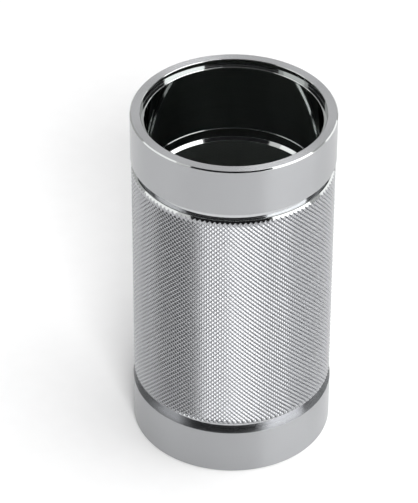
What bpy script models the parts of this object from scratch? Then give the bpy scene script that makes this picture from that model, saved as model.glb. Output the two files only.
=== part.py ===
"""Linear ball bushing: a knurled steel sleeve in which a caged set of balls rolls along a round shaft.

Metres, +Z up the bushing's axis, z = 0 on its lower end face. The sleeve stands upright, so the loose ball cage
has dropped onto the snap ring near the lower end of the bore.
"""

import math

import bmesh
import bpy
from mathutils import Matrix, Vector

MM = 0.001
NAME = "linear_ball_bushing"

# Shaft and balls, which set the diameters inside the sleeve
SHAFT_DIAMETER = 25.0 * MM
BALL_DIAMETER = 4.0 * MM
BALL_ROWS = 4
BALLS_PER_ROW = 12
ROW_PITCH = 5.4 * MM
ROW_STAGGER = 1

# Sleeve, outside
SLEEVE_WALL = 3.5 * MM
SLEEVE_LENGTH = 74.0 * MM
COLLAR_LENGTH = 10.0 * MM
CIRCLIP_GROOVE_WIDTH = 1.85 * MM
CIRCLIP_GROOVE_DEPTH = 1.25 * MM
KNURL_SET_BACK = 0.1 * MM
KNURL_CHAMFER = 0.5 * MM
EDGE_BREAK = 0.25 * MM

# Sleeve, inside: a mouth recess at each end, and above the bore that the balls run in a chamfer, a narrow land and
# a relief
MOUTH_STEP = 0.75 * MM
MOUTH_DEPTH = 1.4 * MM
MOUTH_BREAK = 0.1 * MM
RELIEF_STEP = 0.15 * MM
RELIEF_DEPTH = 15.9 * MM
LAND_STEP = 0.6 * MM
LAND_HEIGHT = 1.9 * MM

# Snap ring: an open ring of flat wire in a groove near the lower end of the bore
RING_SEAT_HEIGHT = 4.0 * MM
RING_GROOVE_DEPTH = 0.9 * MM
RING_THICKNESS = 1.5 * MM
RING_WIDTH = 2.4 * MM
RING_OPENING = 6.0 * MM

# Ball cage: a tube whose pockets narrow inwards, so that no ball can fall into the bore
CAGE_END = 4.5 * MM
CAGE_SHAFT_GAP = 0.8 * MM
CAGE_BORE_GAP = 0.8 * MM
CAGE_CHAMFER = 0.5 * MM
POCKET_LIP = 0.07 * MM
POCKET_MOUTH_GAP = 0.45 * MM

# Clearances
SEAT_GAP = 0.2 * MM
ROLLING_GAP = 0.1 * MM
CUT_OVERRUN = 1.0 * MM

# Fineness of the round forms
SLEEVE_STEPS = 72
CAGE_STEPS = BALL_ROWS * BALLS_PER_ROW
POCKET_SIDES = 12
BALL_SEGMENTS = 10
BALL_RINGS = 6
SMOOTH_ANGLE = math.radians(30.0)

# Sizes that follow from the values above
SHAFT_RADIUS = SHAFT_DIAMETER / 2
BALL_RADIUS = BALL_DIAMETER / 2
BORE_RADIUS = SHAFT_RADIUS + BALL_DIAMETER
SLEEVE_RADIUS = BORE_RADIUS + SLEEVE_WALL
LAND_RADIUS = BORE_RADIUS + LAND_STEP
RELIEF_RADIUS = LAND_RADIUS + RELIEF_STEP
MOUTH_RADIUS = RELIEF_RADIUS + MOUTH_STEP
LAND_TOP = SLEEVE_LENGTH - RELIEF_DEPTH
BORE_TOP = LAND_TOP - LAND_HEIGHT - LAND_STEP
RING_GROOVE_RADIUS = BORE_RADIUS + RING_GROOVE_DEPTH
RING_RADIUS = RING_GROOVE_RADIUS - SEAT_GAP
RING_BOTTOM = RING_SEAT_HEIGHT + SEAT_GAP
RING_TOP = RING_BOTTOM + RING_THICKNESS
CAGE_BOTTOM = RING_TOP + SEAT_GAP
CAGE_LENGTH = (BALL_ROWS - 1) * ROW_PITCH + 2 * CAGE_END
CAGE_INNER_RADIUS = SHAFT_RADIUS + CAGE_SHAFT_GAP
CAGE_OUTER_RADIUS = BORE_RADIUS - CAGE_BORE_GAP
BALL_CIRCLE_RADIUS = BORE_RADIUS - ROLLING_GAP - BALL_RADIUS


def clear_scene():
    """Removes every object that the scene starts with."""
    for obj in list(bpy.data.objects):
        bpy.data.objects.remove(obj, do_unlink=True)


def new_collection(name):
    """A collection of this name, linked to the scene."""
    collection = bpy.data.collections.new(name)
    bpy.context.scene.collection.children.link(collection)
    return collection


def new_material(name, colour, roughness, metallic):
    """A Principled material with one colour."""
    material = bpy.data.materials.new(name)
    material.use_nodes = True
    shader = material.node_tree.nodes["Principled BSDF"]
    shader.inputs["Base Color"].default_value = (*colour, 1.0)
    shader.inputs["Roughness"].default_value = roughness
    shader.inputs["Metallic"].default_value = metallic
    return material


def new_part(name, mesh, collection, material):
    """A named object that holds this mesh, with its material."""
    if not mesh.materials:
        mesh.materials.append(material)
    part = bpy.data.objects.new(name, mesh)
    collection.objects.link(part)
    return part


def new_empty(name, collection, height):
    """An empty on the bushing's axis, at this height."""
    empty = bpy.data.objects.new(name, None)
    empty.location.z = height
    collection.objects.link(empty)
    return empty


def shade_round(mesh):
    """Smooth shading, with the turned edges kept sharp."""
    mesh.shade_smooth()
    mesh.set_sharp_from_angle(angle=SMOOTH_ANGLE)


def turned_part(name, profile, steps, collection, material):
    """A turned solid from a closed profile of (radius, height) points, which runs down its outer side first."""
    mesh = bpy.data.meshes.new(name)
    points = [(radius, 0.0, height) for radius, height in profile]
    edges = [(i, (i + 1) % len(points)) for i in range(len(points))]
    mesh.from_pydata(points, edges, [])
    part = new_part(name, mesh, collection, material)
    screw = part.modifiers.new("turn", "SCREW")
    screw.axis = "Z"
    screw.angle = math.tau
    screw.steps = steps
    screw.render_steps = steps
    screw.use_merge_vertices = True
    screw.merge_threshold = 1e-6
    screw.use_smooth_shade = True
    return part


def cut(part, cutter):
    """Takes the cutter's shape out of the part."""
    difference = part.modifiers.new("cut_" + cutter.name, "BOOLEAN")
    difference.operation = "DIFFERENCE"
    difference.solver = "EXACT"
    difference.object = cutter


def new_cutter(name, bm, collection):
    """A helper object from this bmesh, seen only as wire."""
    mesh = bpy.data.meshes.new(name)
    bm.to_mesh(mesh)
    bm.free()
    cutter = bpy.data.objects.new(name, mesh)
    cutter.hide_render = True
    cutter.display_type = "WIRE"
    collection.objects.link(cutter)
    return cutter


def outer_sleeve(parts, material):
    """The sleeve: plain collars, circlip grooves and a band for the knurl outside, a stepped bore inside."""
    groove_radius = SLEEVE_RADIUS - CIRCLIP_GROOVE_DEPTH
    knurl_radius = SLEEVE_RADIUS - KNURL_SET_BACK
    knurl_bottom = COLLAR_LENGTH + CIRCLIP_GROOVE_WIDTH
    knurl_top = SLEEVE_LENGTH - knurl_bottom
    ring_groove_top = RING_TOP + SEAT_GAP
    outside = [
        (SLEEVE_RADIUS - EDGE_BREAK, SLEEVE_LENGTH),
        (SLEEVE_RADIUS, SLEEVE_LENGTH - EDGE_BREAK),
        (SLEEVE_RADIUS, SLEEVE_LENGTH - COLLAR_LENGTH),
        (groove_radius, SLEEVE_LENGTH - COLLAR_LENGTH),
        (groove_radius, knurl_top),
        (knurl_radius - KNURL_CHAMFER, knurl_top),
        (knurl_radius, knurl_top - KNURL_CHAMFER),
        (knurl_radius, knurl_bottom + KNURL_CHAMFER),
        (knurl_radius - KNURL_CHAMFER, knurl_bottom),
        (groove_radius, knurl_bottom),
        (groove_radius, COLLAR_LENGTH),
        (SLEEVE_RADIUS, COLLAR_LENGTH),
        (SLEEVE_RADIUS, EDGE_BREAK),
        (SLEEVE_RADIUS - EDGE_BREAK, 0.0),
    ]
    lower_mouth = [
        (MOUTH_RADIUS + MOUTH_BREAK, 0.0),
        (MOUTH_RADIUS, MOUTH_BREAK),
        (MOUTH_RADIUS, MOUTH_DEPTH),
        (BORE_RADIUS + MOUTH_BREAK, MOUTH_DEPTH),
        (BORE_RADIUS, MOUTH_DEPTH + MOUTH_BREAK),
    ]
    ring_groove = [
        (BORE_RADIUS, RING_SEAT_HEIGHT),
        (RING_GROOVE_RADIUS, RING_SEAT_HEIGHT),
        (RING_GROOVE_RADIUS, ring_groove_top),
        (BORE_RADIUS, ring_groove_top),
    ]
    relief_and_upper_mouth = [
        (BORE_RADIUS, BORE_TOP),
        (LAND_RADIUS, BORE_TOP + LAND_STEP),
        (LAND_RADIUS, LAND_TOP),
        (RELIEF_RADIUS, LAND_TOP),
        (RELIEF_RADIUS, SLEEVE_LENGTH - MOUTH_DEPTH - MOUTH_BREAK),
        (RELIEF_RADIUS + MOUTH_BREAK, SLEEVE_LENGTH - MOUTH_DEPTH),
        (MOUTH_RADIUS, SLEEVE_LENGTH - MOUTH_DEPTH),
        (MOUTH_RADIUS, SLEEVE_LENGTH - MOUTH_BREAK),
        (MOUTH_RADIUS + MOUTH_BREAK, SLEEVE_LENGTH),
    ]
    profile = outside + lower_mouth + ring_groove + relief_and_upper_mouth
    return turned_part("outer_sleeve", profile, SLEEVE_STEPS, parts, material)


def snap_ring(parts, cutters, material):
    """The open ring that the cage rests on, loose in its groove, with its origin on the axis."""
    inner_radius = RING_RADIUS - RING_WIDTH
    profile = [
        (RING_RADIUS, RING_THICKNESS),
        (RING_RADIUS, 0.0),
        (inner_radius, 0.0),
        (inner_radius, RING_THICKNESS),
    ]
    ring = turned_part("snap_ring", profile, SLEEVE_STEPS, parts, material)
    ring.location.z = RING_BOTTOM
    reach = RING_RADIUS + CUT_OVERRUN
    bm = bmesh.new()
    bmesh.ops.create_cube(bm, size=1.0)
    bmesh.ops.scale(bm, vec=(RING_OPENING, reach, RING_THICKNESS + 2 * CUT_OVERRUN), verts=bm.verts)
    bmesh.ops.translate(bm, vec=(0.0, reach / 2, RING_BOTTOM + RING_THICKNESS / 2), verts=bm.verts)
    cut(ring, new_cutter("ring_opening", bm, cutters))
    return ring


def ball_places():
    """Yields (row, place in row, turn about the axis, height above the cage's foot); each ball has its own track."""
    track = math.tau / (BALL_ROWS * BALLS_PER_ROW)
    for row in range(BALL_ROWS):
        first = (row * ROW_STAGGER % BALL_ROWS) * track
        for place in range(BALLS_PER_ROW):
            yield row, place, first + place * BALL_ROWS * track, CAGE_END + row * ROW_PITCH


def radial_frame(turn, radius, height):
    """A frame at this radius and height whose Z axis points straight out from the bushing's axis."""
    out = Matrix.Rotation(math.pi / 2, 4, "Y")
    return Matrix.Rotation(turn, 4, "Z") @ Matrix.Translation(Vector((radius, 0.0, height))) @ out


def ball_cage(parts, cutters, foot, material):
    """The cage tube, chamfered at both ends, with a tapered pocket for every ball."""
    profile = [
        (CAGE_OUTER_RADIUS - CAGE_CHAMFER, CAGE_LENGTH),
        (CAGE_OUTER_RADIUS, CAGE_LENGTH - CAGE_CHAMFER),
        (CAGE_OUTER_RADIUS, CAGE_CHAMFER),
        (CAGE_OUTER_RADIUS - CAGE_CHAMFER, 0.0),
        (CAGE_INNER_RADIUS, 0.0),
        (CAGE_INNER_RADIUS, CAGE_LENGTH),
    ]
    cage = turned_part("ball_cage", profile, CAGE_STEPS, parts, material)
    cage.parent = foot
    wall = CAGE_OUTER_RADIUS - CAGE_INNER_RADIUS
    lip_radius = BALL_RADIUS - POCKET_LIP
    mouth_radius = BALL_RADIUS + POCKET_MOUTH_GAP
    overrun_taper = (mouth_radius - lip_radius) / wall * CUT_OVERRUN
    middle_radius = (CAGE_OUTER_RADIUS + CAGE_INNER_RADIUS) / 2
    bm = bmesh.new()
    for _row, _place, turn, height in ball_places():
        bmesh.ops.create_cone(
            bm,
            cap_ends=True,
            segments=POCKET_SIDES,
            radius1=lip_radius - overrun_taper,
            radius2=mouth_radius + overrun_taper,
            depth=wall + 2 * CUT_OVERRUN,
            matrix=radial_frame(turn, middle_radius, CAGE_BOTTOM + height),
        )
    cut(cage, new_cutter("ball_pockets", bm, cutters))
    return cage


def balls(parts, foot, material):
    """The balls, each an object of its own in its pocket, with its origin at its centre."""
    bm = bmesh.new()
    bmesh.ops.create_uvsphere(bm, u_segments=BALL_SEGMENTS, v_segments=BALL_RINGS, radius=BALL_RADIUS)
    mesh = bpy.data.meshes.new("ball")
    bm.to_mesh(mesh)
    bm.free()
    shade_round(mesh)
    for row, place, turn, height in ball_places():
        ball = new_part(f"ball_row{row + 1}_{place + 1:02d}", mesh, parts, material)
        ball.parent = foot
        ball.matrix_local = radial_frame(turn, BALL_CIRCLE_RADIUS, height)


def main():
    """Builds the bushing with its cage at rest on the snap ring."""
    clear_scene()
    parts = new_collection(NAME)
    cutters = new_collection(NAME + "_cutters")
    bearing_steel = new_material("ground_bearing_steel", (0.60, 0.60, 0.61), 0.22, 1.0)
    spring_steel = new_material("blackened_spring_steel", (0.06, 0.06, 0.065), 0.45, 1.0)
    acetal = new_material("black_acetal", (0.022, 0.022, 0.024), 0.5, 0.0)
    ball_steel = new_material("polished_ball_steel", (0.78, 0.78, 0.80), 0.06, 1.0)
    outer_sleeve(parts, bearing_steel)
    snap_ring(parts, cutters, spring_steel)
    cage_foot = new_empty("cage_foot", parts, CAGE_BOTTOM)
    ball_cage(parts, cutters, cage_foot, acetal)
    balls(parts, cage_foot, ball_steel)


main()
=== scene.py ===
"""Linear ball bushing, standing on a pale studio floor.

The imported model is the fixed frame. Every piece takes its place from it and rides on one of its bodies.
Lengths are in metres, +Z runs up the bushing's axis and the camera stands on the -Y side.
"""

import logging
import math
from collections.abc import Callable, Iterator, Sequence
from contextlib import contextmanager
from dataclasses import dataclass, field
from enum import Enum

import bmesh
import bpy
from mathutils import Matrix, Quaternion, Vector


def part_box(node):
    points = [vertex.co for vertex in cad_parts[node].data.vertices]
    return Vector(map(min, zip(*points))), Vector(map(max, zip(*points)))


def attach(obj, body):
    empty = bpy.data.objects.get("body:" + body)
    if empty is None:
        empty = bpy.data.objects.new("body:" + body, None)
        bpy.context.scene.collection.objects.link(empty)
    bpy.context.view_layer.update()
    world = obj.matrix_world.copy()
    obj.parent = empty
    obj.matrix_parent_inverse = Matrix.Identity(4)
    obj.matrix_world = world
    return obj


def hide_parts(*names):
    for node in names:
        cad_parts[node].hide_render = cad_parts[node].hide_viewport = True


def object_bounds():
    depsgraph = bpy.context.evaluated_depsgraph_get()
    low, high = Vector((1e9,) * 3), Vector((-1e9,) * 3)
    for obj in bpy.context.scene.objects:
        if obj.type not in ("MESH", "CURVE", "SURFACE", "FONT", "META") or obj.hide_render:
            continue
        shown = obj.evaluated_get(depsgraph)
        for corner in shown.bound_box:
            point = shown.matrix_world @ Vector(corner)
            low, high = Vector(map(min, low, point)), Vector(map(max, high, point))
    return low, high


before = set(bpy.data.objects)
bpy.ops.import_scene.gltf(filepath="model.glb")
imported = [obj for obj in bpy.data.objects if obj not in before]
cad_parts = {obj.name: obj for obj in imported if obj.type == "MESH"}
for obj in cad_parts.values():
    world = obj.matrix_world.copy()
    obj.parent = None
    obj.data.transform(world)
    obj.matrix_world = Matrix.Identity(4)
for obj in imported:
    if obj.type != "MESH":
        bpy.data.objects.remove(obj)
CAD_LOW, CAD_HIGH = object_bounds()

LOG = logging.getLogger("bushing")
MM = 0.001
ORIGIN = (0.0, 0.0, 0.0)
# Corners nearer to each other than this become one
MERGE = 1e-6
# Points nearer to a cutting plane than this lie on it
ON_PLANE = 1e-7
# Edges sharper than the first angle get rounded, and sharper than the second keep a crease in the shading
ROUND_FROM = math.radians(30.0)
CREASE_FROM = math.radians(35.0)
# How far large faces outweigh small ones in the shading
FACE_WEIGHT = 80

Point = tuple[float, float]
Colour = tuple[float, float, float, float]
Tones = tuple[str, str]
Span = tuple[float, float]


class Element(Enum):
    """What an edit-mode selection is made of."""

    VERT = "VERT"
    EDGE = "EDGE"


class Body(Enum):
    """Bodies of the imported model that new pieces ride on; each ball is a body of its own."""

    SLEEVE = "sleeve"
    RING = "ring"
    CAGE = "cage"


class Region(Enum):
    """Surfaces of the sleeve that are finished in different ways; the end faces differ from the outside
    only in a lighter colour, which is painted light.
    """

    OUTSIDE = "ground"
    FACE = "ground end face"
    POLISHED = "polished edge or relief"
    GROOVE = "turned"
    BORE = "honed"


class Reach(Enum):
    """Which surfaces show a studio light: shiny ones, which mirror it, or matt ones, such as the floor.

    The photograph's shadow isn't where the lights that its steel mirrors would throw it.
    """

    SHINY = "mirrored"
    MATT = "lit"


class Slot(Enum):
    """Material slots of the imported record."""

    SLEEVE = "sleeve_steel"
    RING = "spring_steel"
    CAGE = "cage_acetal"
    BALL = "ball_steel"


def linear(hex_code: str) -> Colour:
    """Turns an sRGB hex colour into linear RGBA.

    Args:
        hex_code: Colour such as "#C8C9CB".

    Returns:
        Red, green, blue and alpha from 0 to 1.
    """
    shares = [int(hex_code[i : i + 2], 16) / 255 for i in (1, 3, 5)]
    red, green, blue = (s / 12.92 if s <= 0.04045 else ((s + 0.055) / 1.055) ** 2.4 for s in shares)
    return red, green, blue, 1.0


def add_node(
    tree: bpy.types.NodeTree, kind: str, inputs: dict[str | int, object] | None = None, **settings: object
) -> bpy.types.Node:
    """Adds a shader node with its settings and links.

    Args:
        tree: Node tree that gets the node.
        kind: Blender's name of the node type.
        inputs: Input name or number, with a constant or the output socket that feeds it.
        **settings: Properties of the node.

    Returns:
        The new node.
    """
    node = tree.nodes.new(kind)
    for name, value in settings.items():
        setattr(node, name, value)
    for key, value in (inputs or {}).items():
        if isinstance(value, bpy.types.NodeSocket):
            tree.links.new(value, node.inputs[key])
        else:
            node.inputs[key].default_value = value
    return node


def start_material(
    name: str, constants: dict[str, float]
) -> tuple[bpy.types.Material, bpy.types.NodeTree, bpy.types.Node]:
    """Starts a node material.

    Args:
        name: Name of the real material and how its surface was made.
        constants: Inputs of the shader that are the same all over the surface.

    Returns:
        The material, its node tree and its Principled shader.
    """
    material = bpy.data.materials.new(name)
    material.use_nodes = True
    tree = material.node_tree
    shader = tree.nodes["Principled BSDF"]
    for key, value in constants.items():
        shader.inputs[key].default_value = value
    return material, tree, shader


def follow(
    shader: bpy.types.Node,
    pattern: bpy.types.NodeSocket,
    tones: Tones | None = None,
    roughness: Span | None = None,
    depth: float | None = None,
) -> None:
    """Lets a surface's colour, roughness and height follow a pattern, each where it is given.

    Args:
        shader: The material's Principled shader.
        pattern: Strength of the pattern, from 0 to 1.
        tones: Colours where the pattern is 0 and where it is 1.
        roughness: Roughness where the pattern is 0 and where it is 1.
        depth: Height of the relief that the pattern gives.
    """
    tree = shader.id_data
    if tones:
        # The mix node's colours go in at sockets 6 and 7 and come out at 2
        mixed = {0: pattern, 6: linear(tones[0]), 7: linear(tones[1])}
        colour = add_node(tree, "ShaderNodeMix", mixed, data_type="RGBA")
        tree.links.new(colour.outputs[2], shader.inputs["Base Color"])
    if roughness:
        span = {"Value": pattern, "To Min": roughness[0], "To Max": roughness[1]}
        rough = add_node(tree, "ShaderNodeMapRange", span)
        tree.links.new(rough.outputs[0], shader.inputs["Roughness"])
    if depth:
        bump = add_node(tree, "ShaderNodeBump", {"Height": pattern, "Distance": depth})
        tree.links.new(bump.outputs[0], shader.inputs["Normal"])


def turned_place(tree: bpy.types.NodeTree, drift: float = 0.0) -> bpy.types.NodeSocket:
    """Places a pattern as a lathe leaves it: it runs round the axis and changes with radius and height.

    Args:
        tree: Node tree of the material.
        drift: Share of the sideways place that is let in, so that no mark is a perfect circle.

    Returns:
        A vector socket of radius, drift and height in metres.
    """
    place = add_node(tree, "ShaderNodeTexCoord").outputs["Object"]
    flat = add_node(tree, "ShaderNodeVectorMath", {0: place, 1: (1.0, 1.0, 0.0)}, operation="MULTIPLY")
    radius = add_node(tree, "ShaderNodeVectorMath", {0: flat.outputs[0]}, operation="LENGTH")
    parts = add_node(tree, "ShaderNodeSeparateXYZ", {0: place})
    side = add_node(tree, "ShaderNodeMath", {0: parts.outputs["X"], 1: drift}, operation="MULTIPLY")
    joined = {"X": radius.outputs["Value"], "Y": side.outputs[0], "Z": parts.outputs["Z"]}
    return add_node(tree, "ShaderNodeCombineXYZ", joined).outputs[0]


@dataclass(frozen=True)
class GroundSteel:
    """Hardened bearing steel, ground: a bright grey that smears reflections across its hoop marks."""

    name: str = "bearing_steel_ground"
    tones: Tones = ("#A6A7A9", "#AEAFB1")
    roughness: Span = (0.26, 0.275)
    smear: float = 0.95
    # A quarter turn, because the reflection spreads across the hoops
    smear_turn: float = 0.25
    # A real grinding mark is about 0.05 mm wide; these are 0.4 mm, so that they show at all
    mark_width: float = 0.4 * MM
    mark_depth: float = 0.0002 * MM
    mark_drift: float = 0.03
    mark_detail: float = 3.0
    stain_size: float = 14.0 * MM

    def material(self) -> bpy.types.Material:
        """Builds the material from hoop marks, the smear that they give a reflection, and faint stains.

        Returns:
            The material.
        """
        constants = {"Metallic": 1.0, "Anisotropic": self.smear, "Anisotropic Rotation": self.smear_turn}
        material, tree, shader = start_material(self.name, constants)
        hoops = turned_place(tree, self.mark_drift)
        fine = {"Vector": hoops, "Scale": 1 / self.mark_width, "Detail": self.mark_detail}
        marks = add_node(tree, "ShaderNodeTexNoise", fine).outputs[0]
        follow(shader, marks, roughness=self.roughness, depth=self.mark_depth)
        place = add_node(tree, "ShaderNodeTexCoord").outputs["Object"]
        stains = add_node(tree, "ShaderNodeTexNoise", {"Vector": place, "Scale": 1 / self.stain_size})
        follow(shader, stains.outputs[0], self.tones)
        hoop = add_node(tree, "ShaderNodeTangent", direction_type="RADIAL", axis="Z").outputs[0]
        tree.links.new(hoop, shader.inputs["Tangent"])
        return material


@dataclass(frozen=True)
class TurnedSteel:
    """Bearing steel, finely turned: a bright mirror that the lathe tool's rings make a little silky."""

    name: str = "bearing_steel_fine_turned"
    tones: Tones = ("#B4B5B7", "#C6C7C9")
    roughness: float = 0.1
    # One ring for each turn at a feed of 0.12 mm
    feed: float = 0.12 * MM
    ring_depth: float = 0.0002 * MM
    ring_drift: float = 0.1

    def material(self) -> bpy.types.Material:
        """Builds the material from the tool's rings.

        Returns:
            The material.
        """
        material, tree, shader = start_material(self.name, {"Metallic": 1.0, "Roughness": self.roughness})
        fine = {"Vector": turned_place(tree, self.ring_drift), "Scale": 1 / self.feed}
        rings = add_node(tree, "ShaderNodeTexNoise", fine).outputs[0]
        follow(shader, rings, self.tones, depth=self.ring_depth)
        return material


@dataclass(frozen=True)
class PolishedSteel:
    """Bearing steel with polished edges and a polished relief: a clear, dark mirror with faint rings."""

    name: str = "bearing_steel_polished"
    tones: Tones = ("#B0B3B2", "#BDBFBE")
    roughness: Span = (0.04, 0.08)
    # Polishing lines lie about 0.02 mm apart; these are 0.3 mm, so that they show from close by
    line_width: float = 0.3 * MM
    line_drift: float = 0.02

    def material(self) -> bpy.types.Material:
        """Builds the material from one ring pattern.

        Returns:
            The material.
        """
        material, tree, shader = start_material(self.name, {"Metallic": 1.0})
        fine = {"Vector": turned_place(tree, self.line_drift), "Scale": 1 / self.line_width}
        lines = add_node(tree, "ShaderNodeTexNoise", fine).outputs[0]
        follow(shader, lines, self.tones, self.roughness)
        return material


@dataclass(frozen=True)
class KnurledSteel:
    """Bearing steel under a pressed knurl: burnished crests, and duller valleys whose darker colour is
    painted shade.
    """

    valley_radius: float
    crest_radius: float
    name: str = "bearing_steel_knurled"
    # In the valleys, darker as painted shade, and on the crests
    tones: Tones = ("#98999C", "#BABBBD")
    roughness: Span = (0.3, 0.22)
    grain: float = 0.3 * MM
    grain_depth: float = 0.004 * MM

    def material(self) -> bpy.types.Material:
        """Builds the material, with colour and roughness that follow the height in the knurl.

        Returns:
            The material.
        """
        material, tree, shader = start_material(self.name, {"Metallic": 1.0})
        reach = add_node(tree, "ShaderNodeSeparateXYZ", {0: turned_place(tree)}).outputs["X"]
        span = {"Value": reach, "From Min": self.valley_radius, "From Max": self.crest_radius}
        height = add_node(tree, "ShaderNodeMapRange", span).outputs[0]
        # The colour darkens from the crests down into the valleys: painted shade in the knurl's recesses
        follow(shader, height, self.tones, self.roughness)
        place = add_node(tree, "ShaderNodeTexCoord").outputs["Object"]
        grain = add_node(tree, "ShaderNodeTexNoise", {"Vector": place, "Scale": 1 / self.grain})
        follow(shader, grain.outputs[0], depth=self.grain_depth)
        return material


@dataclass(frozen=True)
class HonedSteel:
    """Bearing steel with a honed bore: a silky grey under an oil film, with fine crossed scratches."""

    radius: float
    name: str = "bearing_steel_honed"
    tones: Tones = ("#B3B8B5", "#BABFBC")
    roughness: Span = (0.36, 0.4)
    # Real honing scratches lie about 0.05 mm apart; these are 0.6 mm apart, so that they show from close by
    scratch_spacing: float = 0.6 * MM
    scratch_angle: float = math.radians(30.0)
    scratch_depth: float = 0.0006 * MM
    scratch_waver: float = 1.5

    def material(self) -> bpy.types.Material:
        """Builds the material, with both sets of scratches drawn on the unrolled bore.

        Returns:
            The material.
        """
        material, tree, shader = start_material(self.name, {"Metallic": 1.0})
        place = add_node(tree, "ShaderNodeTexCoord").outputs["Object"]
        parts = add_node(tree, "ShaderNodeSeparateXYZ", {0: place})
        around = {0: parts.outputs["Y"], 1: parts.outputs["X"]}
        turn = add_node(tree, "ShaderNodeMath", around, operation="ARCTAN2")
        arc = add_node(tree, "ShaderNodeMath", {0: turn.outputs[0], 1: self.radius}, operation="MULTIPLY")
        unrolled = add_node(tree, "ShaderNodeCombineXYZ", {"X": arc.outputs[0], "Y": parts.outputs["Z"]})
        # A band texture of scale 1 repeats each twentieth of tau
        scale = math.tau / 20 / self.scratch_spacing
        waves = []
        for lean in (self.scratch_angle, -self.scratch_angle):
            turned = {"Vector": unrolled.outputs[0], "Rotation": (0.0, 0.0, lean)}
            across = add_node(tree, "ShaderNodeMapping", turned).outputs[0]
            bands = {"Vector": across, "Scale": scale, "Distortion": self.scratch_waver}
            waves.append(add_node(tree, "ShaderNodeTexWave", bands, bands_direction="Y").outputs["Fac"])
        crossed = add_node(tree, "ShaderNodeMath", {0: waves[0], 1: waves[1]}, operation="MAXIMUM")
        follow(shader, crossed.outputs[0], self.tones, self.roughness, self.scratch_depth)
        return material


@dataclass(frozen=True)
class BlackenedSpringSteel:
    """Spring steel, oil-blackened: a satin near-black with a faint brown bloom and rubbed patches."""

    name: str = "spring_steel_blackened"
    # Black, and rubbed through
    tones: Tones = ("#2A2A2B", "#5A5856")
    roughness: float = 0.42
    bloom_size: float = 1.6 * MM
    bloom_depth: float = 0.01 * MM
    bloom_detail: float = 5.0
    # Strength of the bloom where the rubbing starts, and where it is through
    rubbing: Span = (0.5, 0.85)

    def material(self) -> bpy.types.Material:
        """Builds the material from one cloudy pattern of rubbed spots.

        Returns:
            The material.
        """
        material, tree, shader = start_material(self.name, {"Metallic": 1.0, "Roughness": self.roughness})
        place = add_node(tree, "ShaderNodeTexCoord").outputs["Object"]
        cloudy = {"Vector": place, "Scale": 1 / self.bloom_size, "Detail": self.bloom_detail}
        bloom = add_node(tree, "ShaderNodeTexNoise", cloudy).outputs[0]
        span = {"Value": bloom, "From Min": self.rubbing[0], "From Max": self.rubbing[1]}
        follow(shader, add_node(tree, "ShaderNodeMapRange", span).outputs[0], self.tones)
        follow(shader, bloom, depth=self.bloom_depth)
        return material


@dataclass(frozen=True)
class BlackAcetal:
    """Acetal resin, moulded black: a deep waxy black with a low sheen and a fine moulded grain."""

    name: str = "acetal_moulded_black"
    tones: Tones = ("#1B1B1C", "#252526")
    roughness: Span = (0.36, 0.5)
    ior: float = 1.48
    grain: float = 0.25 * MM
    grain_depth: float = 0.008 * MM

    def material(self) -> bpy.types.Material:
        """Builds the material from one fine grain.

        Returns:
            The material.
        """
        material, tree, shader = start_material(self.name, {"IOR": self.ior})
        place = add_node(tree, "ShaderNodeTexCoord").outputs["Object"]
        grain = add_node(tree, "ShaderNodeTexNoise", {"Vector": place, "Scale": 1 / self.grain})
        follow(shader, grain.outputs[0], self.tones, self.roughness, self.grain_depth)
        return material


@dataclass(frozen=True)
class PolishedBallSteel:
    """Chrome bearing steel, lapped: a clear, bright mirror with hardly any haze."""

    name: str = "ball_steel_lapped"
    tones: Tones = ("#D2D2D5", "#DCDCDE")
    roughness: Span = (0.03, 0.07)
    haze_size: float = 0.9 * MM

    def material(self) -> bpy.types.Material:
        """Builds the material from one faint haze.

        Returns:
            The material.
        """
        material, tree, shader = start_material(self.name, {"Metallic": 1.0})
        place = add_node(tree, "ShaderNodeTexCoord").outputs["Object"]
        haze = add_node(tree, "ShaderNodeTexNoise", {"Vector": place, "Scale": 1 / self.haze_size})
        follow(shader, haze.outputs[0], self.tones, self.roughness)
        return material


@dataclass(frozen=True)
class MattSheet:
    """A sheet without any gloss, whose fibres make its tone a little uneven."""

    name: str
    tones: Tones
    fibre: float

    def material(self) -> bpy.types.Material:
        """Builds the material from one fibrous pattern.

        Returns:
            The material.
        """
        material, tree, shader = start_material(self.name, {"Roughness": 1.0, "Specular IOR Level": 0.0})
        place = add_node(tree, "ShaderNodeTexCoord").outputs["Object"]
        fibre = add_node(tree, "ShaderNodeTexNoise", {"Vector": place, "Scale": 1 / self.fibre})
        follow(shader, fibre.outputs[0], self.tones)
        return material


# Backdrop paper: an even, chalky white
PAPER = MattSheet("backdrop_paper_white", ("#F4F4F4", "#F7F7F7"), 4.0 * MM)
# Flocked cloth, dyed dark grey: a soft tone with a faint nap
CLOTH = MattSheet("flag_cloth_flocked_grey", ("#262628", "#2E2E30"), 2.0 * MM)


def pick_only(piece: bpy.types.Object) -> None:
    """Selects one object and makes it active, because operators act on all that is selected.

    Args:
        piece: The object to select.
    """
    bpy.ops.object.select_all(action="DESELECT")
    piece.select_set(True)
    bpy.context.view_layer.objects.active = piece


@contextmanager
def edit_mode(piece: bpy.types.Object) -> Iterator[None]:
    """Opens one piece for editing, with all of it selected, and closes it afterwards.

    Args:
        piece: The mesh object to edit.
    """
    pick_only(piece)
    bpy.ops.object.mode_set(mode="EDIT")
    bpy.ops.mesh.select_mode(type=Element.VERT.value)
    bpy.ops.mesh.select_all(action="SELECT")
    try:
        yield
    finally:
        bpy.ops.object.mode_set(mode="OBJECT")


def pick(piece: bpy.types.Object, element: Element, wanted: Callable[..., bool]) -> None:
    """Selects the parts of an open mesh that pass a test of their place.

    Args:
        piece: The piece that is open in edit mode.
        element: Whether vertices or edges are tested.
        wanted: The test, which gets one vertex or edge.
    """
    bpy.ops.mesh.select_mode(type=element.value)
    bpy.ops.mesh.select_all(action="DESELECT")
    mesh = bmesh.from_edit_mesh(piece.data)
    for item in mesh.verts if element is Element.VERT else mesh.edges:
        if wanted(item):
            item.select_set(True)
    mesh.select_flush_mode()
    bmesh.update_edit_mesh(piece.data)


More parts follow.
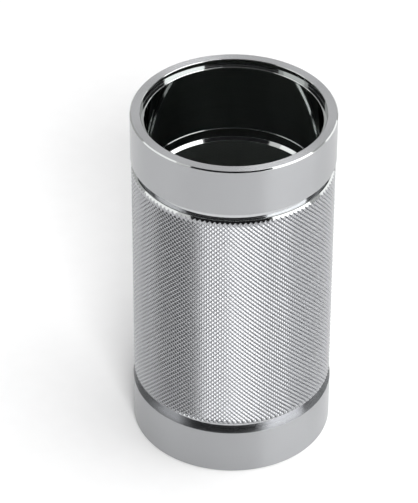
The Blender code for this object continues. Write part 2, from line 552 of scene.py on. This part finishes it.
def middle(edge: bmesh.types.BMEdge) -> Vector:
    """Gives the middle of an edge."""
    return (edge.verts[0].co + edge.verts[1].co) / 2


def at_one_of(places: Sequence[Vector]) -> Callable[..., bool]:
    """Gives the test of whether a vertex, seen from above, lies at one of some places."""
    return lambda vertex: any((vertex.co.xy - place).length < MERGE for place in places)


def start_piece(name: str, size: float) -> bpy.types.Object:
    """Adds the square plane that a piece is shaped from.

    Args:
        name: Name of the piece.
        size: Side of the square.

    Returns:
        The new object, alone in the selection.
    """
    bpy.ops.object.select_all(action="DESELECT")
    bpy.ops.mesh.primitive_plane_add(size=size, location=ORIGIN)
    piece = bpy.context.object
    piece.name = name
    piece.data.name = name
    return piece


def settle(piece: bpy.types.Object) -> None:
    """Puts an object's place, turn and scale into its mesh, so that the object sits at the origin."""
    pick_only(piece)
    bpy.ops.object.transform_apply(location=True, rotation=True, scale=True)


def turned_piece(
    name: str, profile: Sequence[Point], steps: int, angle: float = math.tau
) -> bpy.types.Object:
    """Turns a closed profile about the bushing's axis, as on a lathe.

    Args:
        name: Name of the piece.
        profile: Radius and height of each corner.
        steps: Number of steps round the axis.
        angle: How far round the piece goes; its ends are closed where that is less than a full turn.

    Returns:
        The closed piece, which starts on the +X side.
    """
    piece = start_piece(name, 1.0 * MM)
    corners = [Vector((radius, 0.0, height)) for radius, height in profile]
    with edit_mode(piece):
        bpy.ops.mesh.merge(type="CENTER")
        bpy.ops.transform.translate(value=corners[0])
        for here, there in zip(corners, corners[1:] + corners[:1]):
            bpy.ops.mesh.extrude_region_move(TRANSFORM_OT_translate={"value": there - here})
        bpy.ops.mesh.select_all(action="SELECT")
        bpy.ops.mesh.remove_doubles(threshold=MERGE)
        bpy.ops.mesh.spin(steps=steps, angle=angle, center=ORIGIN, axis=(0.0, 0.0, 1.0))
        bpy.ops.mesh.select_all(action="SELECT")
        bpy.ops.mesh.remove_doubles(threshold=MERGE)
        bpy.ops.mesh.fill_holes(sides=0)
        bpy.ops.mesh.select_all(action="SELECT")
        bpy.ops.mesh.normals_make_consistent(inside=False)
    return piece


def apply_modifier(piece: bpy.types.Object, kind: str, **settings: object) -> None:
    """Adds a modifier and applies it.

    Args:
        piece: The piece to change.
        kind: Blender's name of the modifier type.
        **settings: Properties of the modifier.
    """
    pick_only(piece)
    modifier = piece.modifiers.new(kind.lower(), kind)
    for name, value in settings.items():
        setattr(modifier, name, value)
    bpy.ops.object.modifier_apply(modifier=modifier.name)


def copy_piece(piece: bpy.types.Object) -> bpy.types.Object:
    """Copies a piece, with a mesh of its own.

    Args:
        piece: The piece to copy.

    Returns:
        The copy, in the scene.
    """
    copy = piece.copy()
    copy.data = piece.data.copy()
    bpy.context.scene.collection.objects.link(copy)
    return copy


def enlarge(piece: bpy.types.Object, times: float) -> None:
    """Makes a piece larger or smaller, about the origin.

    Args:
        piece: The piece to scale.
        times: New size as a multiple of the old one.
    """
    piece.scale = (times, times, times)
    settle(piece)


def break_edges(piece: bpy.types.Object, width: float, segments: int = 2) -> None:
    """Takes the sharpness off every edge of a piece.

    Args:
        piece: The piece to finish.
        width: Width of the rounding.
        segments: Number of faces across the rounding.
    """
    settings = {"width": width, "segments": segments, "limit_method": "ANGLE", "angle_limit": ROUND_FROM}
    apply_modifier(piece, "BEVEL", **settings)


def smooth_shade(piece: bpy.types.Object, limit: float = CREASE_FROM) -> None:
    """Shades round faces smoothly and keeps sharp edges sharp.

    Args:
        piece: The piece to shade.
        limit: Angle from which an edge stays sharp.
    """
    pick_only(piece)
    bpy.ops.object.shade_smooth_by_angle(angle=limit)


def round_edges(piece: bpy.types.Object, width: float, segments: int = 2) -> None:
    """Rounds every edge of a turned piece a little and evens out the shading.

    Args:
        piece: The piece to finish.
        width: Width of the rounding.
        segments: Number of faces across the rounding.
    """
    break_edges(piece, width, segments)
    smooth_shade(piece)
    # The modifier passes over faces under about 0.5 square millimetres, so the piece is enlarged for it
    enlarge(piece, 1 / MM)
    apply_modifier(piece, "WEIGHTED_NORMAL", keep_sharp=True, weight=FACE_WEIGHT)
    enlarge(piece, MM)


def hand_over(piece: bpy.types.Object, body: str, slot: Slot, *nodes: str) -> None:
    """Ties a finished piece to its body and hides the CAD nodes that it stands for.

    Args:
        piece: The finished piece.
        body: Body that it moves with.
        slot: Material slot of the record; it is not used.
        *nodes: CAD nodes that it replaces.
    """
    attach(piece, body)
    if nodes:
        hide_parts(*nodes)
    LOG.info("%s: %d faces, rides on %s", piece.name, len(piece.data.polygons), body)


@dataclass
class Sleeve:
    """The outer sleeve: plain collars, circlip grooves, a knurled band and a stepped bore."""

    radius: float
    length: float
    collar_length: float = 10.0 * MM
    groove_width: float = 1.85 * MM
    groove_depth: float = 1.25 * MM
    knurl_set_back: float = 0.1 * MM
    knurl_chamfer: float = 0.62 * MM
    knurl_depth: float = 0.34 * MM
    knurl_saddle: float = 0.24 * MM
    knurl_flat: float = 0.08 * MM
    knurl_teeth: int = 126
    knurl_rows: int = 49
    knurl_root: float = 0.3 * MM
    knurl_edge: float = 0.08 * MM
    knurl_crease: float = math.radians(12.0)
    edge_break: float = 0.25 * MM
    bore_radius: float = 16.5 * MM
    land_radius: float = 17.1 * MM
    land_height: float = 1.9 * MM
    relief_radius: float = 17.25 * MM
    relief_depth: float = 15.9 * MM
    mouth_radius: float = 18.0 * MM
    mouth_depth: float = 1.4 * MM
    mouth_break: float = 0.1 * MM
    ring_groove_radius: float = 17.4 * MM
    ring_groove: tuple[float, float] = (4.0 * MM, 5.9 * MM)
    edge_round: float = 0.03 * MM
    # The end faces are the ground steel painted lighter: painted light on the top face
    face_painted_light_tones: Tones = ("#C6C7C9", "#CECFD1")
    steps: int = 256

    @property
    def crest_radius(self) -> float:
        """Radius over the knurl's crests."""
        return self.radius - self.knurl_set_back

    @property
    def core_radius(self) -> float:
        """Radius at the inner edge of the knurl's chamfers; the plain core lies below it by the root."""
        return self.crest_radius - self.knurl_chamfer

    @property
    def band(self) -> tuple[float, float]:
        """Lower and upper end of the knurled band."""
        bottom = self.collar_length + self.groove_width
        return bottom, self.length - bottom

    @property
    def bore_top(self) -> float:
        """Height at which the bore that the balls run in ends, in a chamfer that leads up to the land."""
        return self.length - self.relief_depth - self.land_height - (self.land_radius - self.bore_radius)

    def outside(self) -> list[Point]:
        """Profile of the outside, from the top down, with the plain core in place of the knurl.

        Returns:
            Radius and height of each corner.
        """
        groove_radius = self.radius - self.groove_depth
        bottom, top = self.band
        return [
            (self.radius - self.edge_break, self.length),
            (self.radius, self.length - self.edge_break),
            (self.radius, self.length - self.collar_length),
            (groove_radius, self.length - self.collar_length),
            (groove_radius, top),
            (self.core_radius - self.knurl_root, top),
            (self.core_radius - self.knurl_root, bottom),
            (groove_radius, bottom),
            (groove_radius, self.collar_length),
            (self.radius, self.collar_length),
            (self.radius, self.edge_break),
            (self.radius - self.edge_break, 0.0),
        ]

    def inside(self) -> list[Point]:
        """Profile of the bore, from the bottom up.

        Returns:
            Radius and height of each corner.
        """
        groove_low, groove_high = self.ring_groove
        land_high = self.length - self.relief_depth
        shoulder = self.length - self.mouth_depth
        return [
            (self.mouth_radius + self.mouth_break, 0.0),
            (self.mouth_radius, self.mouth_break),
            (self.mouth_radius, self.mouth_depth),
            (self.bore_radius + self.mouth_break, self.mouth_depth),
            (self.bore_radius, self.mouth_depth + self.mouth_break),
            (self.bore_radius, groove_low),
            (self.ring_groove_radius, groove_low),
            (self.ring_groove_radius, groove_high),
            (self.bore_radius, groove_high),
            (self.bore_radius, self.bore_top),
            (self.land_radius, land_high - self.land_height),
            (self.land_radius, land_high),
            (self.relief_radius, land_high),
            (self.relief_radius, shoulder - self.mouth_break),
            (self.relief_radius + self.mouth_break, shoulder),
            (self.mouth_radius, shoulder),
            (self.mouth_radius, self.length - self.mouth_break),
            (self.mouth_radius + self.mouth_break, self.length),
        ]

    def build_body(self, polished: bpy.types.Material) -> bpy.types.Object:
        """Turns the sleeve and finishes its outside and its bore.

        Args:
            polished: Material of its edges and its relief.

        Returns:
            The sleeve without its knurl.
        """
        body = turned_piece("sleeve_body", self.outside() + self.inside(), self.steps)
        round_edges(body, self.edge_round)
        finishes = {
            Region.OUTSIDE: GroundSteel().material(),
            # The end faces take the ground steel in a lighter colour, which is painted light
            Region.FACE: GroundSteel("bearing_steel_face_painted_lighter", self.face_painted_light_tones).material(),
            Region.POLISHED: polished,
            Region.GROOVE: TurnedSteel().material(),
            Region.BORE: HonedSteel(self.bore_radius).material(),
        }
        for finish in finishes.values():
            body.data.materials.append(finish)
        places = {region: number for number, region in enumerate(finishes)}
        for face in body.data.polygons:
            face.material_index = places[self.region(face.center)]
        return body

    def region(self, point: Vector) -> Region:
        """Tells which finish belongs to a point of the surface.

        Args:
            point: A point on the sleeve.

        Returns:
            The region that it lies in.
        """
        reach = point.xy.length
        if reach < self.mouth_radius + self.mouth_break / 2:
            return Region.BORE if point.z < self.bore_top else Region.POLISHED
        from_end = min(point.z, self.length - point.z)
        if reach > self.radius - self.edge_break and 0 < from_end < self.edge_break:
            return Region.POLISHED
        if from_end < self.edge_round / 2:
            return Region.FACE
        groove_end = self.collar_length + self.groove_width + self.edge_round
        in_groove = self.collar_length < from_end < groove_end
        if in_groove and reach < self.crest_radius - self.knurl_chamfer / 2:
            return Region.GROOVE
        return Region.OUTSIDE

    def knurl_tile(self, across: float, up: float) -> bpy.types.Object:
        """Shapes one repeat of the knurl: a whole diamond and a quarter of one in each corner.

        The diamonds stand in ridges that fall to the right, because the grooves across them are shallower.

        Args:
            across: Width of the repeat, round the sleeve.
            up: Height of the repeat, along the sleeve.

        Returns:
            The flat tile, centred on the origin.
        """
        tile = start_piece("sleeve_knurl", 1.0)
        # The square reaches the root of 2 across its corners
        spread = (across * math.sqrt(0.5), up * math.sqrt(0.5), 1.0)
        centre = Vector((0.0, 0.0))
        reaches = ((across / 2, 0.0), (0.0, up / 2), (-across / 2, 0.0), (0.0, -up / 2))
        # To one corner of the tile first, and from there round to the other three
        moves = ((across / 2, up / 2, 0.0), (-across, 0.0, 0.0), (0.0, -up, 0.0), (across, 0.0, 0.0))
        with edit_mode(tile):
            bpy.ops.transform.rotate(value=math.pi / 4, orient_axis="Z", center_override=ORIGIN)
            bpy.ops.transform.resize(value=spread, center_override=ORIGIN)
            pick(tile, Element.EDGE, lambda edge: middle(edge).x * middle(edge).y < 0)
            bpy.ops.mesh.subdivide(number_cuts=1)
            pick(tile, Element.EDGE, lambda edge: middle(edge).length < MERGE)
            bpy.ops.mesh.subdivide(number_cuts=1)
            for reach in reaches:
                pick(tile, Element.VERT, at_one_of((Vector(reach), centre)))
                bpy.ops.mesh.vert_connect()
            pick(tile, Element.VERT, lambda vertex: vertex.co.length < MERGE)
            bpy.ops.transform.translate(value=(0.0, 0.0, self.knurl_depth))
            pick(tile, Element.VERT, lambda vertex: vertex.co.x * vertex.co.y < -MERGE * MERGE)
            bpy.ops.transform.translate(value=(0.0, 0.0, self.knurl_saddle))
            pick(tile, Element.EDGE, lambda edge: min(vertex.co.z for vertex in edge.verts) > MERGE)
            bpy.ops.mesh.bevel(offset=self.knurl_flat, segments=1, affect="EDGES")
            bpy.ops.mesh.select_all(action="SELECT")
            for move in moves:
                bpy.ops.mesh.duplicate_move(TRANSFORM_OT_translate={"value": move})
            for normal in ((1.0, 0.0, 0.0), (-1.0, 0.0, 0.0), (0.0, 1.0, 0.0), (0.0, -1.0, 0.0)):
                side = (normal[0] * across / 2, normal[1] * up / 2, 0.0)
                bpy.ops.mesh.select_all(action="SELECT")
                bpy.ops.mesh.bisect(plane_co=side, plane_no=normal, clear_outer=True, threshold=ON_PLANE)
            bpy.ops.mesh.select_all(action="SELECT")
            bpy.ops.mesh.remove_doubles(threshold=MERGE)
        return tile

    def build_knurl(self, polished: bpy.types.Material) -> bpy.types.Object:
        """Repeats the tile over the band, wraps it round the sleeve and closes it to a thin ring.

        Args:
            polished: Material of its ends.

        Returns:
            The knurled band with its chamfered ends.
        """
        low, high = self.band
        across = math.tau * self.crest_radius / self.knurl_teeth
        up = (high - low - 2 * self.knurl_chamfer) / self.knurl_rows
        knurl = self.knurl_tile(across, up)
        for count, offset in ((self.knurl_teeth, (across, 0.0, 0.0)), (self.knurl_rows, (0.0, up, 0.0))):
            apply_modifier(
                knurl,
                "ARRAY",
                count=count,
                use_relative_offset=False,
                use_constant_offset=True,
                constant_offset_displace=offset,
                use_merge_vertices=True,
                merge_threshold=MERGE,
            )
        valley = self.crest_radius - self.knurl_depth
        for vertex in knurl.data.vertices:
            x, y, rise = vertex.co
            turn = x / self.crest_radius
            reach = valley + rise
            height = low + self.knurl_chamfer + up / 2 + y
            vertex.co = (reach * math.cos(turn), reach * math.sin(turn), height)
        with edit_mode(knurl):
            bpy.ops.mesh.remove_doubles(threshold=MERGE)
            for end, way in ((low, 1.0), (high, -1.0)):
                self.close_knurl_end(knurl, end, way)
            pick(knurl, Element.EDGE, lambda edge: edge.is_boundary)
            bpy.ops.mesh.bridge_edge_loops()
            bpy.ops.mesh.select_all(action="SELECT")
            bpy.ops.mesh.normals_make_consistent(inside=False)
        smooth_shade(knurl, self.knurl_crease)
        knurl.data.materials.append(KnurledSteel(valley, self.crest_radius).material())
        knurl.data.materials.append(polished)
        for face in knurl.data.polygons:
            heights = [knurl.data.vertices[number].co.z for number in face.vertices]
            on_end = (min(height - low, high - height) < self.knurl_chamfer + MERGE for height in heights)
            face.material_index = int(all(on_end))
        return knurl

    def close_knurl_end(self, knurl: bpy.types.Object, end: float, way: float) -> None:
        """Cuts one end of the band to its chamfer and turns the edge in under it.

        Args:
            knurl: The wrapped band, open in edit mode.
            end: Height of the band's end.
            way: 1 where the band lies above that end, -1 where it lies below.
        """
        halfway = self.length / 2
        pick(
            knurl,
            Element.EDGE,
            lambda edge: edge.is_boundary and (edge.verts[0].co.z - halfway) * way < 0,
        )
        mesh = bmesh.from_edit_mesh(knurl.data)
        for vertex in mesh.verts:
            if vertex.select:
                # The chamfer's cone meets the deeper valleys nearer to the end, so its edge is toothed
                vertex.co.z = end + way * (vertex.co.xy.length - self.core_radius)
        edge = self.knurl_edge
        root = self.knurl_root
        # Down the chamfer, over its broken edge, in along the end face, and away under the body
        for inwards, rise in ((-edge, edge), (edge, 0.0), (root, 0.0), (root + edge, edge)):
            bpy.ops.mesh.extrude_edges_move()
            mesh = bmesh.from_edit_mesh(knurl.data)
            for vertex in mesh.verts:
                if vertex.select:
                    vertex.co.xy = vertex.co.xy.normalized() * (self.core_radius - inwards)
                    vertex.co.z = end + way * rise
        bmesh.update_edit_mesh(knurl.data)

    def build(self) -> None:
        """Builds both pieces of the sleeve and ties them to its body."""
        polished = PolishedSteel().material()
        hand_over(self.build_body(polished), Body.SLEEVE.value, Slot.SLEEVE, "outer_sleeve")
        hand_over(self.build_knurl(polished), Body.SLEEVE.value, Slot.SLEEVE)


@dataclass
class SnapRing:
    """The open ring of flat wire, in its groove near the lower end of the bore."""

    bottom: float
    top: float
    radius: float = 17.2 * MM
    width: float = 2.4 * MM
    opening: float = 6.0 * MM
    edge_round: float = 0.25 * MM
    edge_faces: int = 3
    steps: int = 160

    def build(self) -> None:
        """Spins the wire's section round to both sides of the opening and rounds its edges."""
        inner = self.radius - self.width
        profile = [
            (self.radius, self.top),
            (self.radius, self.bottom),
            (inner, self.bottom),
            (inner, self.top),
        ]
        half_gap = math.asin(self.opening / 2 / (self.radius - self.width / 2))
        ring = turned_piece("ring_wire", profile, self.steps, math.tau - 2 * half_gap)
        # The opening lies towards +Y
        ring.rotation_euler.z = math.pi / 2 + half_gap
        settle(ring)
        round_edges(ring, self.edge_round, self.edge_faces)
        ring.data.materials.append(BlackenedSpringSteel().material())
        hand_over(ring, Body.RING.value, Slot.RING, "snap_ring")


@dataclass
class BallCage:
    """The cage tube, with a tapered pocket for every ball."""

    bottom: float
    top: float
    inner_radius: float = 13.3 * MM
    outer_radius: float = 15.7 * MM
    chamfer: float = 0.5 * MM
    lip_radius: float = 1.93 * MM
    mouth_radius: float = 2.45 * MM
    flare: float = 0.2 * MM
    overrun: float = 1.0 * MM
    pocket_sides: int = 32
    steps: int = 220
    edge_round: float = 0.08 * MM

    def tube(self) -> bpy.types.Object:
        """Turns the plain tube, chamfered outside at both ends.

        Returns:
            The tube without its pockets.
        """
        profile = [
            (self.outer_radius - self.chamfer, self.top),
            (self.outer_radius, self.top - self.chamfer),
            (self.outer_radius, self.bottom + self.chamfer),
            (self.outer_radius - self.chamfer, self.bottom),
            (self.inner_radius, self.bottom),
            (self.inner_radius, self.top),
        ]
        tube = turned_piece("cage_tube", profile, self.steps)
        break_edges(tube, self.edge_round)
        return tube

    def pocket_cutter(self) -> bpy.types.Object:
        """Turns the cutter for one pocket: a taper that narrows to the lip, and a flared rim at its mouth.

        Returns:
            The cutter on the origin, with the lip at height 0 and the mouth at the wall's thickness.
        """
        wall = self.outer_radius - self.inner_radius
        slope = (self.mouth_radius - self.lip_radius) / wall
        flare_start = wall - self.flare
        profile = [
            (0.0, -self.overrun),
            (self.lip_radius - slope * self.overrun, -self.overrun),
            (self.lip_radius + slope * flare_start, flare_start),
            (self.mouth_radius + self.flare + self.overrun, wall + self.overrun),
            (0.0, wall + self.overrun),
        ]
        return turned_piece("cage_pocket_cutter", profile, self.pocket_sides)

    def build(self, centres: Sequence[Vector]) -> None:
        """Cuts a pocket for every ball and dresses the cage.

        Args:
            centres: Centres of the balls at rest.
        """
        cage = self.tube()
        cutter = self.pocket_cutter()
        copies = []
        for centre in centres:
            copy = copy_piece(cutter)
            out = Vector((centre.x, centre.y, 0.0)).normalized()
            copy.location = out * self.inner_radius + Vector((0.0, 0.0, centre.z))
            copy.rotation_euler = out.to_track_quat("Z", "Y").to_euler()
            copies.append(copy)
        pick_only(cutter)
        bpy.ops.object.delete()
        pick_only(copies[0])
        for copy in copies:
            copy.select_set(True)
        bpy.ops.object.join()
        apply_modifier(cage, "BOOLEAN", operation="DIFFERENCE", solver="EXACT", object=copies[0])
        bpy.data.objects.remove(copies[0], do_unlink=True)
        smooth_shade(cage)
        cage.data.materials.append(BlackAcetal().material())
        hand_over(cage, Body.CAGE.value, Slot.CAGE, "ball_cage")


@dataclass
class BallSet:
    """The rolling balls, each in its pocket."""

    nodes: Sequence[str]
    radius: float = 2.0 * MM
    cuts: int = 7

    def centres(self) -> list[Vector]:
        """Centre of each ball at rest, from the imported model."""
        return [sum(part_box(node), Vector()) / 2 for node in self.nodes]

    def first_ball(self) -> bpy.types.Object:
        """Shapes one ball from a cube, cut fine and drawn out to a sphere.

        Returns:
            The ball, centred on the origin.
        """
        bpy.ops.object.select_all(action="DESELECT")
        bpy.ops.mesh.primitive_cube_add(size=2 * self.radius, location=ORIGIN)
        ball = bpy.context.object
        with edit_mode(ball):
            bpy.ops.mesh.subdivide(number_cuts=self.cuts)
        sphere = {"cast_type": "SPHERE", "factor": 1.0, "use_radius_as_size": False, "size": self.radius}
        apply_modifier(ball, "CAST", **sphere)
        pick_only(ball)
        bpy.ops.object.shade_smooth()
        ball.data.materials.append(PolishedBallSteel().material())
        return ball

    def build(self) -> None:
        """Copies the first ball into every pocket, each with a mesh of its own."""
        first = self.first_ball()
        for node, centre in zip(self.nodes, self.centres()):
            ball = copy_piece(first)
            ball.name = node.replace("ball", "polished_ball")
            ball.data.name = ball.name
            ball.location = centre
            settle(ball)
            hand_over(ball, node, Slot.BALL, node)
        bpy.data.objects.remove(first, do_unlink=True)


def direction(azimuth: float, elevation: float) -> Vector:
    """Gives the direction of a place in the studio, seen from the bushing.

    Args:
        azimuth: Turn from the camera's side towards +X, in degrees.
        elevation: Rise above the floor, in degrees.

    Returns:
        A vector of length 1.
    """
    turn = math.radians(azimuth)
    rise = math.radians(elevation)
    level = math.cos(rise)
    return Vector((math.sin(turn) * level, -math.cos(turn) * level, math.sin(rise)))


@dataclass(frozen=True)
class Softbox:
    """A rectangular studio light that faces the bushing."""

    name: str
    azimuth: float
    elevation: float
    distance: float
    width: float
    height: float
    radiance: float
    reach: Reach = Reach.SHINY

    def place(self, target: Vector) -> None:
        """Hangs the light.

        Args:
            target: Point that it faces.
        """
        away = direction(self.azimuth, self.elevation)
        data = bpy.data.lights.new(self.name, "AREA")
        data.shape = "RECTANGLE"
        data.size = self.width
        data.size_y = self.height
        data.energy = math.pi * self.width * self.height * self.radiance
        lamp = bpy.data.objects.new(self.name, data)
        lamp.location = target + away * self.distance
        lamp.rotation_euler = away.to_track_quat("Z", "Y").to_euler()
        lamp.visible_camera = False
        lamp.visible_diffuse = self.reach is Reach.MATT
        lamp.visible_glossy = self.reach is Reach.SHINY
        bpy.context.scene.collection.objects.link(lamp)


@dataclass(frozen=True)
class Flag:
    """A board of dark cloth that puts dark lines into the steel.

    Its lower and upper edges are given by their left and right ends.
    """

    name: str
    azimuth: float
    elevation: float
    distance: float
    height: float
    lower: Point
    upper: Point

    def hang(self, target: Vector, cloth: bpy.types.Material) -> None:
        """Hangs the board so that it faces the bushing, out of the camera's sight.

        Args:
            target: Point that it faces.
            cloth: Material of the board.
        """
        away = direction(self.azimuth, self.elevation)
        board = start_piece(self.name, 1.0)
        with edit_mode(board):
            bpy.ops.transform.resize(value=(1.0, self.height, 1.0), center_override=ORIGIN)
            for level, ends in ((-1.0, self.lower), (1.0, self.upper)):
                for side, end in zip((-1.0, 1.0), ends):
                    pick(
                        board,
                        Element.VERT,
                        lambda vertex: vertex.co.x * side > 0 and vertex.co.y * level > 0,
                    )
                    bpy.ops.transform.translate(value=(end - side / 2, 0.0, 0.0))
        board.rotation_euler = away.to_track_quat("Z", "Y").to_euler()
        board.location = target + away * self.distance
        settle(board)
        board.data.materials.append(cloth)
        board.visible_camera = False


@dataclass
class Studio:
    """Floor, lights and camera, set as in the photograph."""

    target: Vector
    floor_size: float = 6.0
    floor_gap: float = 0.02 * MM
    sky: float = 0.7
    sky_colour: str = "#FFFFFF"
    # Azimuth, elevation, distance, width, height and radiance
    softboxes: tuple[Softbox, ...] = (
        Softbox("softbox_right", 61.0, 27.0, 4.0, 4.4, 4.0, 3.0),
        Softbox("softbox_left", -85.0, 35.0, 0.75, 0.6, 0.5, 1.0),
        Softbox("key_right", 100.0, 70.0, 1.0, 0.5, 0.5, 4.0),
        Softbox("strip_right", 108.0, 12.0, 0.35, 0.36, 0.18, 1.2),
        Softbox("fill_front", 11.0, 37.0, 2.5, 0.8, 0.6, 29.5, Reach.MATT),
        Softbox("fill_middle", 45.0, 60.0, 1.5, 0.8, 0.8, 1.5, Reach.MATT),
        Softbox("fill_right", 104.0, 66.0, 1.0, 0.7, 0.7, 2.2, Reach.MATT),
    )
    # Azimuth, elevation, distance, height and the ends of the lower and the upper edge
    flags: tuple[Flag, ...] = (
        Flag("flag_front", -14.0, 42.0, 3.0, 3.04, (-2.48, 2.08), (-2.4, 2.88)),
        Flag("flag_left", -126.0, 42.0, 0.75, 0.22, (-0.3, 0.3), (-0.3, 0.3)),
        Flag("flag_right", 126.0, 42.0, 0.75, 0.22, (-0.3, 0.3), (-0.3, 0.3)),
    )
    lens: float = 219.7
    sensor: float = 36.0
    clip_start: float = 0.01
    camera_place: Vector = field(default_factory=lambda: Vector((0.0, -484.6, 408.0)) * MM)
    camera_aim: Vector = field(default_factory=lambda: Vector((-4.69, 0.0, 40.23)) * MM)
    camera_roll: float = math.radians(0.17)

    def lay_floor(self) -> None:
        """Lays the sheet of backdrop paper that the bushing stands on."""
        floor = start_piece("floor", self.floor_size)
        floor.location.z = -self.floor_gap
        settle(floor)
        floor.data.materials.append(PAPER.material())

    def light(self) -> None:
        """Lights the sky evenly and hangs the softboxes."""
        world = bpy.data.worlds.new("studio")
        world.use_nodes = True
        background = world.node_tree.nodes["Background"]
        background.inputs["Color"].default_value = linear(self.sky_colour)
        background.inputs["Strength"].default_value = self.sky
        bpy.context.scene.world = world
        for softbox in self.softboxes:
            softbox.place(self.target)

    def hang_flags(self) -> None:
        """Hangs the flags, all of one cloth."""
        cloth = CLOTH.material()
        for flag in self.flags:
            flag.hang(self.target, cloth)

    def set_camera(self) -> None:
        """Sets the camera at the photograph's angle."""
        data = bpy.data.cameras.new("camera")
        data.sensor_fit = "VERTICAL"
        data.sensor_height = self.sensor
        data.lens = self.lens
        data.clip_start = self.clip_start
        camera = bpy.data.objects.new("camera", data)
        camera.location = self.camera_place
        aim = (self.camera_place - self.camera_aim).to_track_quat("Z", "Y")
        camera.rotation_euler = (aim @ Quaternion((0.0, 0.0, 1.0), self.camera_roll)).to_euler()
        bpy.context.scene.collection.objects.link(camera)
        bpy.context.scene.camera = camera
        bpy.context.scene.view_settings.view_transform = "Standard"


def main() -> None:
    """Builds the bushing piece by piece and sets the studio round it."""
    logging.basicConfig(level=logging.INFO, format="%(message)s")
    heart = (CAD_LOW + CAD_HIGH) / 2
    studio = Studio(heart)
    studio.set_camera()
    studio.light()
    studio.lay_floor()
    studio.hang_flags()
    _, sleeve_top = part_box("outer_sleeve")
    Sleeve(radius=sleeve_top.x, length=sleeve_top.z).build()
    ring_low, ring_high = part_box("snap_ring")
    SnapRing(bottom=ring_low.z, top=ring_high.z).build()
    balls = BallSet(sorted(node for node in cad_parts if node.startswith("ball_row")))
    cage_low, cage_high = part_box("ball_cage")
    BallCage(bottom=cage_low.z, top=cage_high.z).build(balls.centres())
    balls.build()


if __name__ == "__main__":
    main()
